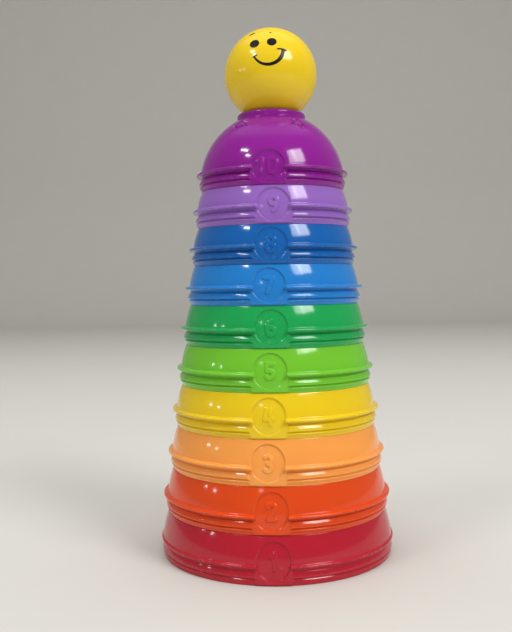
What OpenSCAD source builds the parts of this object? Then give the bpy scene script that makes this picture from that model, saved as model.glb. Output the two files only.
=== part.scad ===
// Stacking cup tower: ten numbered cups, mouth down, each standing on the
// ledge of the next larger one, with a ball resting in the dish of the top cup.
// Millimetres, +Z up, origin at the centre of the largest cup's mouth,
// badges facing -Y.

/* [Tower] */
// Mouth radius of the largest cup
base_rim_r = 58.9; // [52:0.1:66]
// How much smaller the second mouth is than the first
first_step = 2.8; // [2.5:0.05:3]
// How much smaller the last mouth is than the one before it
last_step = 2.2; // [2:0.05:2.4]
// Height of the largest cup's ledge above its mouth
base_ledge_z = 22.4; // [19:0.1:27]
// Height of the ninth cup's ledge above its mouth
top_ledge_z = 18.6; // [16:0.1:22.4]

/* [Wall] */
// Wall thickness of the cups
wall = 1.6; // [1.2:0.1:1.9]
// Radial gap between a cup's plug and the mouth that drops over it
plug_gap = 0.3; // [0.15:0.05:0.5]
// Height of the largest dome's centre above its mouth
base_dome_z = 2.5; // [1.5:0.1:4]
// Height of the smallest dome's centre above its mouth
top_dome_z = 3.8; // [3:0.1:5.5]

/* [Skirt] */
// Height of the plain lip round the mouth
lip_h = 3.1; // [2:0.1:3.5]
// How far the lip flares out between the mouth and the bead
lip_out = 0.6; // [0.2:0.05:0.8]
// How far the snap bead stands out from the mouth
bead_out = 1.2; // [0.9:0.05:1.4]
// Height of the snap bead, which is widest at its foot
bead_h = 2.7; // [1.6:0.1:3]
// How far the groove's root stands out from the mouth
groove_out = 0.3; // [0.1:0.05:0.5]
// Height of the groove between bead and flange
groove_h = 1.9; // [1:0.1:2.4]
// How far the stop flange stands out from the mouth
flange_out = 2.4; // [1.6:0.1:3]
// How far the largest cup's flange stands out from its mouth
base_flange_out = 1.1; // [0.9:0.1:3]
// Thickness of the stop flange
flange_h = 1.7; // [1.2:0.1:2.4]

/* [Foot ring] */
// Outer radius of the ring round the dish
ring_r = 17.5; // [16.5:0.1:18.5]
// Height of the ring above the dome where they meet
ring_h = 3.3; // [2.4:0.1:4]
// Radius of the ring's outer top rounding
ring_outer_round = 1.4; // [0.8:0.1:2.2]
// Width of the ring's flat crown
ring_crown_w = 2.7; // [1.5:0.1:3]
// Radius of the ring's inner top rounding, which the ball seats on
ring_inner_round = 1.3; // [0.8:0.1:1.3]

/* [Badge] */
// Width of the sunk badge
badge_w = 16.4; // [13:0.1:17]
// Height of the badge on the largest cup
base_badge_h = 18.2; // [15:0.1:18.4]
// Height of the badge on the smallest cup
top_badge_h = 16.2; // [13:0.1:16.4]
// Height of the badge's centre on the largest cup
base_badge_z = 11; // [10:0.1:12]
// Height of the badge's centre on the smallest cup
top_badge_z = 9.2; // [8.8:0.1:9.8]
// Depth of the badge below the dome
badge_depth = 0.6; // [0.3:0.05:0.9]
// Half the width of the plain panel that interrupts the bead and groove
panel_half_w = 8.7; // [8.5:0.1:11]
// Height of the panel's lower edge above the mouth
panel_z = 0.6; // [0.3:0.1:1]
// Height of the numerals
numeral_h = 9; // [7:0.1:10]
// Width of a single numeral
numeral_w = 5.6; // [4.6:0.1:6.4]
// Width of the numerals' strokes
pen = 1.9; // [1:0.1:2]
// How far the numerals stand up from the badge
numeral_out = 0.5; // [0.2:0.05:0.6]

/* [Stars] */
// Distance of the stars' centres from the axis
star_r = 23.4; // [23.4:0.1:25]
// Radius of a star's points
star_size = 5.4; // [3:0.1:5.5]
// Width of a star's sunk outline
star_line = 0.8; // [0.5:0.1:1]
// Depth of a star's outline
star_depth = 0.35; // [0.2:0.05:0.5]

/* [Ball] */
// Diameter of the ball
ball_d = 47.4; // [45:0.1:52]
// Wall thickness of the ball
ball_wall = 1.6; // [1.2:0.1:2.4]
// Gap between the ball and the ring it seats on
ball_gap = 0.15; // [0.1:0.05:0.3]
// Gap between the ball and the floor of the dish
dish_gap = 1; // [0.6:0.1:1.2]
// Thickness of the printed face
ink = 0.1; // [0.06:0.02:0.2]

/* [Hidden] */

$fn = 96;

CUPS = 10;
STARS = 5;
// a star's inner points are half as far out as its points, which puts its sides this far out
STAR_NECK = 0.5;
STAR_SIDE = 0.4426;
// the bead's foot is a short cylinder between a step from the lip and the taper above it
BEAD_STEP = 0.3;
BEAD_FOOT = 0.5;
// how far each cup happens to be turned about the tower's axis, largest first
cup_turn = [-3, -3.8, -5.4, -4.9, -4, -3.3, -4.4, -2.9, -0.6, -4.3];

// the face looks out of the ball a little up and to one side, tipped over a little
face_turn = -6.9;
face_lift = 14.4;
face_tip = 6.5;

flange_z = lip_h + bead_h + groove_h;
ring_crown_outer = ring_r - ring_outer_round;
ring_crown_inner = ring_crown_outer - ring_crown_w;
ball_r = ball_d / 2;
// height of the ball's centre above the top of the ring
ball_above_ring = sqrt(pow(ball_r + ring_inner_round + ball_gap, 2)
    - pow(ring_crown_inner, 2)) - ring_inner_round;
// the dish is a hollow sphere from its floor up to where the ring's inner rounding starts
dish_floor = ball_r + dish_gap - ball_above_ring;
dish_edge_r = ring_crown_inner - ring_inner_round;
dish_sag = dish_floor - ring_inner_round;
dish_r = (pow(dish_edge_r, 2) + pow(dish_sag, 2)) / (2 * dish_sag);

// sizes of cup k, where 1 is the largest
function rim_r(k) = base_rim_r - first_step * (k - 1)
    + (first_step - last_step) * (k - 1) * (k - 2) / (2 * (CUPS - 2));
function blend_cups(first, last, k) = first + (last - first) * (k - 1) / (CUPS - 1);
function ledge_z(k) = base_ledge_z - (base_ledge_z - top_ledge_z) * (k - 1) / (CUPS - 2);
function dome_z(k) = blend_cups(base_dome_z, top_dome_z, k);
function dome_r(k) = norm([rim_r(k + 1), ledge_z(k) - dome_z(k)]);
function mouth_r(k) = rim_r(k) - wall;
// the dome carries on above the ledge as a plug; the top cup has no ledge
function plug_r(k) = k == CUPS
    ? dome_r(k)
    : norm([mouth_r(k + 1) - plug_gap, ledge_z(k) - dome_z(k)]);
function cup_h(k) = dome_z(k) + sqrt(pow(plug_r(k), 2) - pow(ring_r, 2)) + ring_h;
function cup_base_z(k) = k == 1 ? 0 : cup_base_z(k - 1) + ledge_z(k - 1);
function cup_flange_out(k) = k == 1 ? base_flange_out : flange_out;
function cup_flange_r(k) = rim_r(k) + cup_flange_out(k);

ball_z = cup_base_z(CUPS) + cup_h(CUPS) + ball_above_ring;

// a slice of a profile: everything right of the axis between two heights
module slice(low, high) {
    translate([0, low])
        square([2 * base_rim_r, high - low]);
}

// a disc with a full round edge, drawn from the axis
module round_edged(r, low, h) {
    translate([0, low])
        square([r - h / 2, h]);
    translate([r - h / 2, low + h / 2])
        circle(h / 2);
}

// the lip, the snap bead and the groove; all stand out less where the flange does
module skirt(k) {
    swell = cup_flange_out(k) / flange_out;
    bead_r = rim_r(k) + swell * bead_out;
    groove_r = rim_r(k) + swell * groove_out;
    polygon([
        [0, 0],
        [rim_r(k), 0],
        [rim_r(k) + swell * lip_out, lip_h],
        [bead_r, lip_h + BEAD_STEP],
        [bead_r, lip_h + BEAD_STEP + BEAD_FOOT],
        [(bead_r + groove_r) / 2, lip_h + bead_h],
        [groove_r, flange_z],
        [groove_r, flange_z + flange_h / 2],
        [0, flange_z + flange_h / 2]
    ]);
}

// the outside of a cup as a half section
module outline(k) {
    skirt(k);
    round_edged(cup_flange_r(k), flange_z, flange_h);
    intersection() {
        translate([0, dome_z(k)])
            circle(dome_r(k));
        slice(flange_z, ledge_z(k));
    }
    intersection() {
        translate([0, dome_z(k)])
            circle(plug_r(k));
        slice(flange_z, cup_h(k) - ring_h);
    }
    foot_ring(cup_h(k));
}

// the ring round the dish, from inside the dome up to its outer rounding
module foot_ring(top) {
    translate([0, top - 2 * ring_h])
        square([ring_r, 2 * ring_h - ring_outer_round]);
    translate([ring_crown_outer, top - ring_outer_round])
        circle(ring_outer_round);
    translate([0, top - 2 * ring_h])
        square([ring_crown_outer, 2 * ring_h]);
}

// the ring's crown and its inner rounding, which the ball seats on
module ball_seat(top) {
    translate([ring_crown_inner, top - 2 * ring_inner_round])
        square([ring_crown_w, 2 * ring_inner_round]);
    translate([ring_crown_inner, top - ring_inner_round])
        circle(ring_inner_round);
}

// what is cut out of the top of a cup for the ball, made larger by a margin
module dish(k, margin) {
    translate([0, cup_h(k) - dish_floor + dish_r])
        circle(dish_r + margin);
}

// the room inside a cup, kept clear of the dish's floor
module cavity(k) {
    translate([0, -1])
        square([mouth_r(k), dome_z(k) + 1]);
    difference() {
        union() {
            intersection() {
                translate([0, dome_z(k)])
                    circle(dome_r(k) - wall);
                slice(dome_z(k), k == CUPS ? cup_h(k) : ledge_z(k) - wall);
            }
            intersection() {
                translate([0, dome_z(k)])
                    circle(plug_r(k) - wall);
                slice(dome_z(k), cup_h(k) - ring_h - wall);
            }
        }
        dish(k, wall);
    }
}

// turns a drawing to stand on the front of cup k, reaching out from the axis
module on_front(k, z) {
    rotate([0, 0, cup_turn[k - 1]])
        translate([0, 0, z])
            rotate([90, 0, 0])
                linear_extrude(height = cup_flange_r(k) + 1)
                    children();
}

// everything in front of the axis that is as wide and high as the plain panel
module panel_block(k) {
    on_front(k, panel_z)
        translate([-panel_half_w, 0])
            square([2 * panel_half_w, flange_z - panel_z]);
}

// the plain panel that the badge is sunk in, flush with the dome
module panel(k) {
    intersection() {
        translate([0, 0, dome_z(k)])
            sphere(dome_r(k));
        difference() {
            panel_block(k);
            cylinder(h = 2 * flange_z, r = mouth_r(k));
        }
    }
}

// what the bead loses where the panel interrupts it
module panel_cut(k) {
    difference() {
        panel_block(k);
        translate([0, 0, dome_z(k)])
            sphere(dome_r(k));
    }
}

// the sunk badge, whose floor follows the dome
module badge_cut(k) {
    difference() {
        on_front(k, blend_cups(base_badge_z, top_badge_z, k))
            scale([1, blend_cups(base_badge_h, top_badge_h, k) / badge_w])
                circle(badge_w / 2);
        translate([0, 0, dome_z(k)])
            sphere(dome_r(k) - badge_depth);
    }
}

// the raised number in the badge
module numeral(k) {
    intersection() {
        on_front(k, blend_cups(base_badge_z, top_badge_z, k))
            number(k);
        difference() {
            translate([0, 0, dome_z(k)])
                sphere(dome_r(k) - badge_depth + numeral_out);
            translate([0, 0, dome_z(k)])
                sphere(dome_r(k) - badge_depth - numeral_out);
        }
    }
}

module number(k) {
    if (k == 10) {
        translate([-3.4, 0])
            digit(1);
        translate([2.2, 0])
            digit(0);
    } else {
        digit(k);
    }
}

// a pen stroke with round ends from a to b
module stroke(a, b) {
    translate(a)
        rotate(atan2(b[1] - a[1], b[0] - a[0]))
            translate([0, -pen / 2])
                square([norm(b - a), pen]);
    translate(a)
        circle(pen / 2);
    translate(b)
        circle(pen / 2);
}

// a curved pen stroke with round ends, from one angle up to another
module curve(centre, r, from, to) {
    steps = ceil((to - from) / 45);
    translate(centre) {
        intersection() {
            difference() {
                circle(r + pen / 2);
                circle(r - pen / 2);
            }
            polygon(concat([[0, 0]],
                [for (i = [0:steps]) let (a = from + (to - from) * i / steps)
                    3 * r * [cos(a), sin(a)]]));
        }
        for (a = [from, to])
            translate(r * [cos(a), sin(a)])
                circle(pen / 2);
    }
}

module digit(n) {
    half_w = (numeral_w - pen) / 2;
    half_h = (numeral_h - pen) / 2;
    bowl = half_w;
    low = [0, bowl - half_h];
    high = -low;
    if (n == 0) {
        curve(high, bowl, 0, 180);
        curve(low, bowl, 180, 360);
        stroke([-bowl, low[1]], [-bowl, high[1]]);
        stroke([bowl, low[1]], [bowl, high[1]]);
    }
    if (n == 1) {
        stroke([0.4, -half_h], [0.4, half_h]);
        stroke([0.4, half_h], [0.4 - half_w, half_h - 1.5]);
    }
    if (n == 2) {
        curve(high, bowl, -35, 170);
        stroke(high + bowl * [cos(-35), sin(-35)], [-half_w, -half_h]);
        stroke([-half_w, -half_h], [half_w, -half_h]);
    }
    if (n == 3) {
        curve([0, half_h / 2], half_h / 2, -90, 140);
        curve([0, -half_h / 2], half_h / 2, -140, 90);
    }
    if (n == 4) {
        stroke([-half_w / 2, half_h], [-half_w, -half_h / 3]);
        stroke([-half_w, -half_h / 3], [half_w, -half_h / 3]);
        stroke([half_w / 2, half_h], [half_w / 2, -half_h]);
    }
    if (n == 5) {
        stroke([-half_w * 0.8, half_h], [half_w * 0.8, half_h]);
        stroke([-half_w * 0.8, half_h], [-half_w * 0.8, 0.3]);
        curve([-0.3, 0.5 - bowl], bowl, -145, 115);
    }
    if (n == 6) {
        curve(low, bowl, 0, 360);
        stroke([-bowl, low[1]], [-bowl, 0.8]);
        curve([0.6 + bowl / 2, 0.8], half_h - 0.8, 120, 180);
    }
    if (n == 7) {
        stroke([-half_w, half_h], [half_w, half_h]);
        stroke([half_w, half_h], [-half_w / 3, -half_h]);
    }
    if (n == 8) {
        curve([0, half_h - 0.9 * bowl], 0.9 * bowl, 0, 360);
        curve(low, bowl, 0, 360);
    }
    if (n == 9) {
        rotate(180)
            digit(6);
    }
}

// a five-pointed star with its first point towards +X
module star(r) {
    polygon([for (i = [0:2 * STARS - 1])
        let (a = i * 180 / STARS, point = i % 2 == 0 ? r : STAR_NECK * r)
            point * [cos(a), sin(a)]]);
}

// sunk star outlines on the shoulder, midway between the badge and each other
module stars_cut(k) {
    tilt = asin(star_r / plug_r(k));
    floor_z = sqrt(pow(plug_r(k), 2) - pow(star_size, 2)) - star_depth;
    translate([0, 0, dome_z(k)])
        for (i = [0:STARS - 1])
            rotate([0, 0, cup_turn[k - 1] - 90 + (i + 0.5) * 360 / STARS])
                rotate([0, tilt, 0])
                    translate([0, 0, floor_z])
                        linear_extrude(height = star_size)
                            difference() {
                                star(star_size);
                                star(star_size - star_line / STAR_SIDE);
                            }
}

// a cup before the panel, the badge and the stars interrupt it
module spun_cup(k) {
    rotate_extrude()
        difference() {
            union() {
                difference() {
                    intersection() {
                        outline(k);
                        slice(0, cup_h(k));
                    }
                    dish(k, 0);
                }
                ball_seat(cup_h(k));
            }
            cavity(k);
        }
}

module cup(k) {
    translate([0, 0, cup_base_z(k)]) {
        difference() {
            union() {
                difference() {
                    spun_cup(k);
                    panel_cut(k);
                }
                panel(k);
            }
            badge_cut(k);
            stars_cut(k);
        }
        numeral(k);
    }
}

// puts a flat drawing on the ball as a film of ink, seen along the face's axis
module printed() {
    translate([0, 0, ball_z])
        intersection() {
            rotate([0, 0, face_turn])
                rotate([90 - face_lift, 0, 0])
                    rotate([0, 0, face_tip])
                        linear_extrude(height = ball_d)
                            children();
            difference() {
                sphere(ball_r + ink);
                sphere(ball_r);
            }
        }
}

// a printed line that follows an arc, from one angle up to another
module arc_line(centre, r, w, from, to) {
    translate(centre)
        intersection() {
            difference() {
                circle(r + w / 2);
                circle(r - w / 2);
            }
            polygon([[0, 0], 2 * r * [cos(from), sin(from)], 2 * r * [cos(to), sin(to)]]);
        }
}

// the smile: a crescent that is thickest low on one side, with a dimple at each end
module smile() {
    translate([1.4, 1])
        intersection() {
            difference() {
                circle(7.9);
                translate([-0.4, 0.3])
                    circle(6.7);
            }
            polygon([[0, 0], [-12, -3.1], [-12, -12], [12, -12], [12, -0.6]]);
        }
    arc_line([-3.3, -6.4], 6, 0.8, 99, 123);
    arc_line([6.8, -4.6], 5.9, 0.85, 54, 101);
}

module cup_01_red() { color("#B8202F") cup(1); }
module cup_02_orange() { color("#DE4816") cup(2); }
module cup_03_apricot() { color("#F99F43") cup(3); }
module cup_04_yellow() { color("#EBC81F") cup(4); }
module cup_05_lime() { color("#74C233") cup(5); }
module cup_06_green() { color("#1EA053") cup(6); }
module cup_07_azure() { color("#1F80CC") cup(7); }
module cup_08_blue() { color("#0B66AE") cup(8); }
module cup_09_lavender() { color("#9A6CC4") cup(9); }
module cup_10_purple() { color("#8E2390") cup(10); }

module ball_shell() {
    color("#F5D21E")
        translate([0, 0, ball_z])
            difference() {
                sphere(ball_r);
                sphere(ball_r - ball_wall);
            }
}

module face_print() {
    color("#151515") {
        printed()
            translate([-5, 6.3])
                circle(2.4);
        printed()
            translate([3.5, 5.7])
                circle(2.4);
        printed()
            arc_line([-3.7, 6.6], 8, 0.8, 95, 118);
        printed()
            arc_line([3.8, 4.4], 8, 0.8, 87, 103);
        printed()
            smile();
    }
}

cup_01_red();
cup_02_orange();
cup_03_apricot();
cup_04_yellow();
cup_05_lime();
cup_06_green();
cup_07_azure();
cup_08_blue();
cup_09_lavender();
cup_10_purple();
ball_shell();
face_print();
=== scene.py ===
"""Looks of the stacking cup tower: ten moulded cups, mouth down, and a ball with a face.

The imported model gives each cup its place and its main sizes. Each cup is one closed
moulding: a Geometry Nodes tree spins its half section round the tower's axis, flattens
the panel on its front and sinks the stars in its shoulder, and then the badge is sunk
and the numeral raised. The ball is a spun shell, and its face is a film of ink.
All sizes are in metres unless a name says otherwise.
"""

import logging
import math
from collections.abc import Callable
from dataclasses import dataclass, field
from enum import Enum
from functools import partial

import bmesh
import bpy
import numpy as np
from mathutils import Matrix, Vector


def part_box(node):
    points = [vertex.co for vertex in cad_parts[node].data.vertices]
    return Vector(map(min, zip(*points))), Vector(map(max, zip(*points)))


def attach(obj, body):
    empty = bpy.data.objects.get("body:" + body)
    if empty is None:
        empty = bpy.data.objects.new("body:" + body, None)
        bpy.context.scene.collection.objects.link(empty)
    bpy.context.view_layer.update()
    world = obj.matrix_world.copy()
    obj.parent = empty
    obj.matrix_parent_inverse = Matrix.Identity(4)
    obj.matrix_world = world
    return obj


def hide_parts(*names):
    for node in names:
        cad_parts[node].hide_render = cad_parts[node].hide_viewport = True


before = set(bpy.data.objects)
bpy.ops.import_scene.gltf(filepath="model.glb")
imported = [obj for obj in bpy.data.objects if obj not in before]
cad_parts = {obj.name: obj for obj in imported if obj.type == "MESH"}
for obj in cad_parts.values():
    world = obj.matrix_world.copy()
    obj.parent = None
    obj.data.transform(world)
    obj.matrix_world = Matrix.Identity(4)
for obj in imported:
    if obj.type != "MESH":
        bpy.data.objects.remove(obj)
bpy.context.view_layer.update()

LOG = logging.getLogger("cup_tower")
MM = 0.001
JOIN = 0.004 * MM

Point = tuple[float, float]


class Hue(Enum):
    """Colours of the mouldings and the ink, as sRGB hex values."""

    RED = "#B8162C"
    ORANGE = "#E2480A"
    APRICOT = "#FBA24A"
    YELLOW = "#EFCB12"
    LIME = "#74C62C"
    GREEN = "#12A552"
    AZURE = "#1C7FCF"
    BLUE = "#0560AF"
    LAVENDER = "#9666C0"
    PURPLE = "#8C1290"
    BALL = "#F0CC1A"
    INK = "#0C0C0C"
    FLOOR = "#CBC9C3"


def linear(colour: str) -> tuple[float, float, float, float]:
    """Turns an sRGB hex value to a linear colour.

    Args:
        colour: Six hex digits after a hash sign.

    Returns:
        Red, green, blue and an alpha of one.
    """
    parts = [int(colour[i:i + 2], 16) / 255 for i in (1, 3, 5)]
    bent = [c / 12.92 if c <= 0.04045 else ((c + 0.055) / 1.055) ** 2.4 for c in parts]
    return (*bent, 1.0)


def add(tree: bpy.types.NodeTree, kind: str, inputs: dict | None = None, **settings) -> bpy.types.Node:
    """Adds a node with its settings and links.

    Args:
        tree: The tree that the node goes in.
        kind: The node's type.
        inputs: Socket name or index to a value, a socket, or a node whose first output is used.
        **settings: Properties of the node.

    Returns:
        The new node.
    """
    node = tree.nodes.new(kind)
    for name, value in settings.items():
        setattr(node, name, value)
    for key, value in (inputs or {}).items():
        if isinstance(value, bpy.types.Node):
            value = value.outputs[0]
        if isinstance(value, bpy.types.NodeSocket):
            tree.links.new(value, node.inputs[key])
        else:
            node.inputs[key].default_value = value
    return node


def smooth(t: np.ndarray) -> np.ndarray:
    """An S-shaped step from 0 to 1 as t goes from 0 to 1."""
    t = np.clip(t, 0, 1)
    return t * t * (3 - 2 * t)


def arc(centre: Point, radius: float, start: float, end: float, spacing: float) -> list[Point]:
    """Points along an arc of a half section, ends included.

    Args:
        centre: Radius and height of the arc's centre.
        radius: Radius of the arc.
        start: Angle of its first point in degrees, from outwards towards up.
        end: Angle of its last point in degrees.
        spacing: Greatest distance between two points.

    Returns:
        The points, as radius and height.
    """
    steps = max(1, math.ceil(abs(math.radians(end - start)) * radius / spacing))
    turns = [math.radians(start + (end - start) * i / steps) for i in range(steps + 1)]
    return [(centre[0] + radius * math.cos(a), centre[1] + radius * math.sin(a)) for a in turns]


def bearing(start: Point, end: Point) -> float:
    """The direction from one point of a half section to another, in degrees."""
    return math.degrees(math.atan2(end[1] - start[1], end[0] - start[0]))


def nestled(a: Point, a_radius: float, b: Point, b_radius: float) -> Point:
    """Where a circle's centre is when it lies in the outer corner between two circles.

    Args:
        a: Centre of the first circle.
        a_radius: Distance of the wanted centre from a.
        b: Centre of the second circle.
        b_radius: Distance of the wanted centre from b.

    Returns:
        The centre that is further out from the tower's axis and higher.
    """
    span = math.dist(a, b)
    along = (a_radius ** 2 - b_radius ** 2 + span ** 2) / (2 * span)
    across = math.sqrt(a_radius ** 2 - along ** 2)
    ux, uz = (b[0] - a[0]) / span, (b[1] - a[1]) / span
    found = [(a[0] + along * ux + side * across * uz, a[1] + along * uz - side * across * ux)
             for side in (1, -1)]
    return max(found, key=lambda p: p[1])


def mesh_object(name: str, mesh: bpy.types.Mesh) -> bpy.types.Object:
    """Puts a mesh in the scene as an object at the origin.

    Args:
        name: Name of the object.
        mesh: Its mesh.

    Returns:
        The object.
    """
    piece = bpy.data.objects.new(name, mesh)
    bpy.context.scene.collection.objects.link(piece)
    return piece


def close_up(mesh: bpy.types.Mesh) -> None:
    """Joins doubled vertices, turns every face outwards and shades the mesh smooth.

    Args:
        mesh: A closed mesh, changed in place.
    """
    work = bmesh.new()
    work.from_mesh(mesh)
    bmesh.ops.remove_doubles(work, verts=work.verts, dist=JOIN)
    bmesh.ops.dissolve_degenerate(work, edges=work.edges, dist=JOIN / 4)
    bmesh.ops.recalc_face_normals(work, faces=work.faces)
    for face in work.faces:
        face.smooth = True
    work.to_mesh(mesh)
    work.free()


@dataclass(frozen=True)
class Moulding:
    """Sizes that all ten cups share."""

    wall: float = 1.6 * MM
    plug_gap: float = 0.3 * MM
    lip_h: float = 3.1 * MM
    lip_out: float = 0.6 * MM
    bead_out: float = 1.2 * MM
    bead_h: float = 2.7 * MM
    groove_out: float = 0.3 * MM
    groove_h: float = 1.9 * MM
    flange_out: float = 2.4 * MM
    base_flange_out: float = 1.1 * MM
    flange_h: float = 1.7 * MM
    ring_r: float = 17.5 * MM
    ring_h: float = 3.3 * MM
    ring_outer_round: float = 1.4 * MM
    ring_inner_round: float = 1.3 * MM
    ring_crown_w: float = 2.7 * MM
    dish_floor: float = 4.72 * MM
    badge_w: float = 16.4 * MM
    badge_depth: float = 0.8 * MM
    badge_wall: float = 0.38 * MM
    panel_half_w: float = 8.7 * MM
    panel_z: float = 0.6 * MM
    star_reach: float = 24.2 * MM
    star_size: float = 5.8 * MM
    star_line: float = 1.15 * MM
    star_depth: float = 0.85 * MM
    stars: int = 5
    edge: float = 0.35 * MM
    root: float = 0.3 * MM
    bead_tip: float = 0.35 * MM
    bead_step: float = 0.3 * MM
    crease: float = 0.32 * MM
    sunk: float = 0.45 * MM
    ring_root: float = 0.5 * MM
    hollow: float = 0.8 * MM
    panel_soft: float = 0.9 * MM

    @property
    def flange_z(self) -> float:
        """Height of the flange's underside."""
        return self.lip_h + self.bead_h + self.groove_h


@dataclass(frozen=True)
class Spacing:
    """Greatest distances between the points of a half section, finest where the eye rests."""

    inside: float = 2 * MM
    ceiling: float = 2.5 * MM
    dish: float = 1.2 * MM
    shoulder: float = 0.8 * MM
    stars: float = 0.3 * MM
    band: float = 0.2 * MM
    flange: float = 0.14 * MM
    corner: float = 0.12 * MM
    rim: float = 0.1 * MM
    tip: float = 0.08 * MM
    bead_steps: int = 14
    lip_steps: int = 16
    same: float = 0.02 * MM


@dataclass
class HalfSection:
    """A cup's closed half section, walked from the middle of its dish round to under it."""

    rim_r: float
    flange_r: float
    next_rim_r: float
    ledge: float
    height: float
    dome_z: float
    shape: Moulding
    topmost: bool
    step: Spacing = Spacing()
    # how far down the lip it has reached its full width, and where it starts to narrow again
    BULGE_END = 0.3
    SLOPE_START = 0.2

    def __post_init__(self) -> None:
        """Works out the radii and the walk."""
        s = self.shape
        self.plug_r = math.hypot(s.ring_r, self.height - s.ring_h - self.dome_z)
        self.dome_r = self.plug_r if self.topmost else math.hypot(self.next_rim_r, self.ledge - self.dome_z)
        self.mouth_r = self.rim_r - s.wall
        self.middle = (0, self.dome_z)
        self.star_tilt = math.asin(s.star_reach / self.plug_r)
        self.points: list[Point] = []
        self.rub: list[float] = []
        self.walk_dish_and_ring()
        self.walk_dome()
        first_skirt = len(self.points)
        self.walk_flange()
        first_bead = len(self.points)
        self.walk_groove_and_bead()
        self.walk_lip()
        last_skirt = len(self.points)
        self.walk_inside()
        self.plan_panel(first_skirt, first_bead, last_skirt)

    def follow(self, points: list[Point], rub: float = 0.0) -> None:
        """Adds points to the walk, without any that repeats the one before it.

        Args:
            points: Radius and height of each.
            rub: How much of the surface is rubbed dull there, from 0 to 1.
        """
        for point in points:
            if not self.points or math.dist(point, self.points[-1]) > self.step.same:
                self.points.append(point)
                self.rub.append(rub)

    def rise_to(self, height: float, radius: float) -> float:
        """Degrees above level, seen from the dome's middle, of a height on a sphere round it."""
        return math.degrees(math.asin((height - self.dome_z) / radius))

    def walk_dish_and_ring(self) -> None:
        """The dish that the ball sits in and the ring round it."""
        s, step = self.shape, self.step
        crown_outer = s.ring_r - s.ring_outer_round
        crown_inner = crown_outer - s.ring_crown_w
        seat_r = crown_inner - s.ring_inner_round
        sag = s.dish_floor - s.ring_inner_round
        self.dish_r = (seat_r ** 2 + sag ** 2) / (2 * sag)
        self.dish_z = self.height - s.dish_floor + self.dish_r
        foot = bearing((0, self.dish_z), (seat_r, self.height - s.ring_inner_round))
        self.follow(arc((0, self.dish_z), self.dish_r, -90, foot, step.dish))
        seat = (crown_inner, self.height - s.ring_inner_round)
        self.follow(arc(seat, s.ring_inner_round, 180, 90, step.stars), rub=0.4)
        self.follow([(crown_inner + s.ring_crown_w / 2, self.height)], rub=0.8)
        outer = (crown_outer, self.height - s.ring_outer_round)
        root_r = s.ring_r + s.ring_root
        rise = math.sqrt((self.plug_r + s.ring_root) ** 2 - root_r ** 2)
        self.foot_ring_root = (root_r, self.dome_z + rise)
        self.follow(arc(outer, s.ring_outer_round, 90, 45, step.band), rub=0.7)
        self.follow(arc(outer, s.ring_outer_round, 45, 0, step.band), rub=0.2)
        self.follow(arc(self.foot_ring_root, s.ring_root, 180,
                        180 + bearing(self.middle, self.foot_ring_root), step.corner))

    def walk_dome(self) -> None:
        """The plug with its stars, the ledge that the next cup stands on, and the band."""
        s, step, middle = self.shape, self.step, self.middle
        start = bearing(middle, self.foot_ring_root)
        stars_end = 90 - math.degrees(self.star_tilt + 1.1 * s.star_size / self.plug_r)
        self.edge_centre = (self.flange_r - s.flange_h / 2, s.flange_z + s.flange_h / 2)
        self.hollow_centre = nestled(middle, self.dome_r + s.hollow,
                                     self.edge_centre, s.flange_h / 2 + s.hollow)
        end = bearing(middle, self.hollow_centre)
        self.follow(arc(middle, self.plug_r, start, stars_end, step.stars))
        if self.topmost:
            badge_top = self.rise_to(self.ledge + 2 * MM, self.dome_r)
            self.follow(arc(middle, self.dome_r, stars_end, badge_top, step.shoulder))
            self.follow(arc(middle, self.dome_r, badge_top, end, step.band))
            return
        self.follow(arc(middle, self.plug_r, stars_end, self.rise_to(self.ledge, self.plug_r), step.inside))
        tip_z = self.ledge - s.edge
        tip = (math.sqrt((self.dome_r - s.edge) ** 2 - (tip_z - self.dome_z) ** 2), tip_z)
        self.follow([(tip[0] - 0.3 * MM, self.ledge)], rub=0.2)
        lean = bearing(middle, tip)
        self.follow(arc(tip, s.edge, 90, lean, step.tip), rub=0.3)
        self.follow(arc(middle, self.dome_r, lean, end, step.band))

    def walk_flange(self) -> None:
        """The hollow above the flange and the flange's round edge."""
        s, fine = self.shape, self.step.flange
        into = bearing(self.edge_centre, self.hollow_centre)
        self.follow(arc(self.hollow_centre, s.hollow, 180 + bearing(self.middle, self.hollow_centre),
                        180 + into, fine))
        for start, end, rub in ((into, 45, 0.5), (45, -45, 1.0), (-45, -90, 0.2)):
            self.follow(arc(self.edge_centre, s.flange_h / 2, start, end, fine), rub)

    def walk_groove_and_bead(self) -> None:
        """The sunk groove under the flange and the bead that widens downwards."""
        s, step = self.shape, self.step
        # the largest cup's flange stands out less, and so does all that is under it
        self.swell = (self.flange_r - self.rim_r) / s.flange_out
        groove_r = self.rim_r + self.swell * s.groove_out - s.sunk
        self.bead_r = self.rim_r + self.swell * s.bead_out
        self.bead_foot = s.lip_h + s.bead_step
        bead_top = self.bead_foot + s.bead_h - s.bead_step
        start, end = bead_top + 0.5 * MM, self.bead_foot + s.bead_tip
        self.follow(arc((groove_r + s.root, s.flange_z - s.root), s.root, 90, 180, step.rim))
        self.follow([(groove_r, bead_top + 0.8 * MM)])
        for t in np.linspace(0, 1, step.bead_steps + 1):
            out = 0.25 + 0.75 * (2 * float(smooth(0.5 + 0.5 * t)) - 1)
            self.follow([(groove_r + (self.bead_r - groove_r) * out, start + (end - start) * t)], 0.8 * t)
        self.follow(arc((self.bead_r - s.bead_tip, end), s.bead_tip, 0, -80, step.tip), rub=0.8)

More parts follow.
